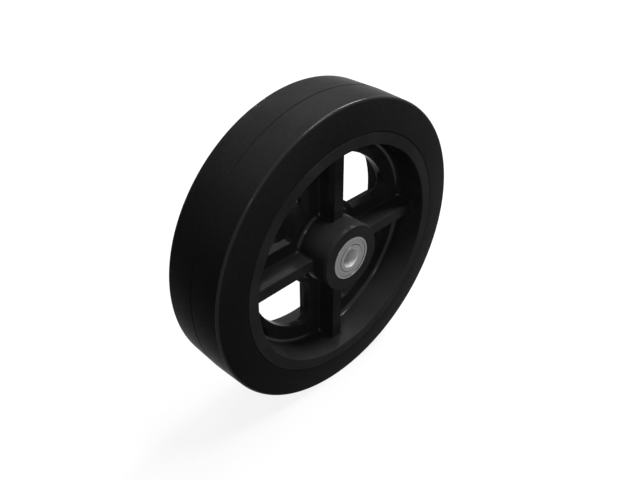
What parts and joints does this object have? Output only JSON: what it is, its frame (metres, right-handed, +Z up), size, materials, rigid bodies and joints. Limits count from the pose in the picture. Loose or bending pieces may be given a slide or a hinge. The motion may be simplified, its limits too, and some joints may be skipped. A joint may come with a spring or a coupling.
{
  "type": "rubber trolley wheel",
  "caption": "Solid rubber-tyred trolley wheel with a ribbed plastic centre, open web windows and shielded ball bearings in the hub.",
  "frame": {"origin": "centre of the wheel, on its axle line and midway between its two sides", "axes": "+Y along the axle, away from the pictured side; +Z up; the wheel spins about +Y"},
  "size_m": [0.2, 0.054, 0.2],
  "materials": {
    "tyre_rubber": "matt moulded rubber",
    "centre_plastic": "fine satin moulded",
    "ring_steel": "ground",
    "shield_steel": "pressed",
    "ball_steel": "polished",
    "cage_nylon": "moulded",
    "spacer_steel": "zinc plated"
  },
  "bodies": {
    "axle_set": {"front_inner_ring": "ring_steel", "rear_inner_ring": "ring_steel", "spacer_tube": "spacer_steel"},
    "wheel": {"wheel_centre": "centre_plastic", "tyre": "tyre_rubber", "front_outer_ring": "ring_steel", "front_outer_shield": "shield_steel", "front_inner_shield": "shield_steel", "rear_outer_ring": "ring_steel", "rear_outer_shield": "shield_steel", "rear_inner_shield": "shield_steel"},
    "front_ball_set": {"front_cage": "cage_nylon", "front_ball_1": "ball_steel", "front_ball_2": "ball_steel", "front_ball_3": "ball_steel", "front_ball_4": "ball_steel", "front_ball_5": "ball_steel", "front_ball_6": "ball_steel", "front_ball_7": "ball_steel", "front_ball_8": "ball_steel"},
    "rear_ball_set": {"rear_cage": "cage_nylon", "rear_ball_1": "ball_steel", "rear_ball_2": "ball_steel", "rear_ball_3": "ball_steel", "rear_ball_4": "ball_steel", "rear_ball_5": "ball_steel", "rear_ball_6": "ball_steel", "rear_ball_7": "ball_steel", "rear_ball_8": "ball_steel"}
  },
  "joints": [
    {"name": "wheel_spin", "type": "hinge", "parent": "axle_set", "child": "wheel", "pos_m": [0, 0, 0], "axis": [0, 1, 0], "continuous": true},
    {"name": "front_balls_roll", "type": "hinge", "parent": "axle_set", "child": "front_ball_set", "pos_m": [0, -0.02303, 0], "axis": [0, 1, 0], "continuous": true},
    {"name": "rear_balls_roll", "type": "hinge", "parent": "axle_set", "child": "rear_ball_set", "pos_m": [0, 0.02303, 0], "axis": [0, 1, 0], "continuous": true}
  ],
  "couplings": [
    {"joint": "front_balls_roll", "follows": "wheel_spin", "ratio": 0.61538},
    {"joint": "rear_balls_roll", "follows": "wheel_spin", "ratio": 0.61538}
  ]
}
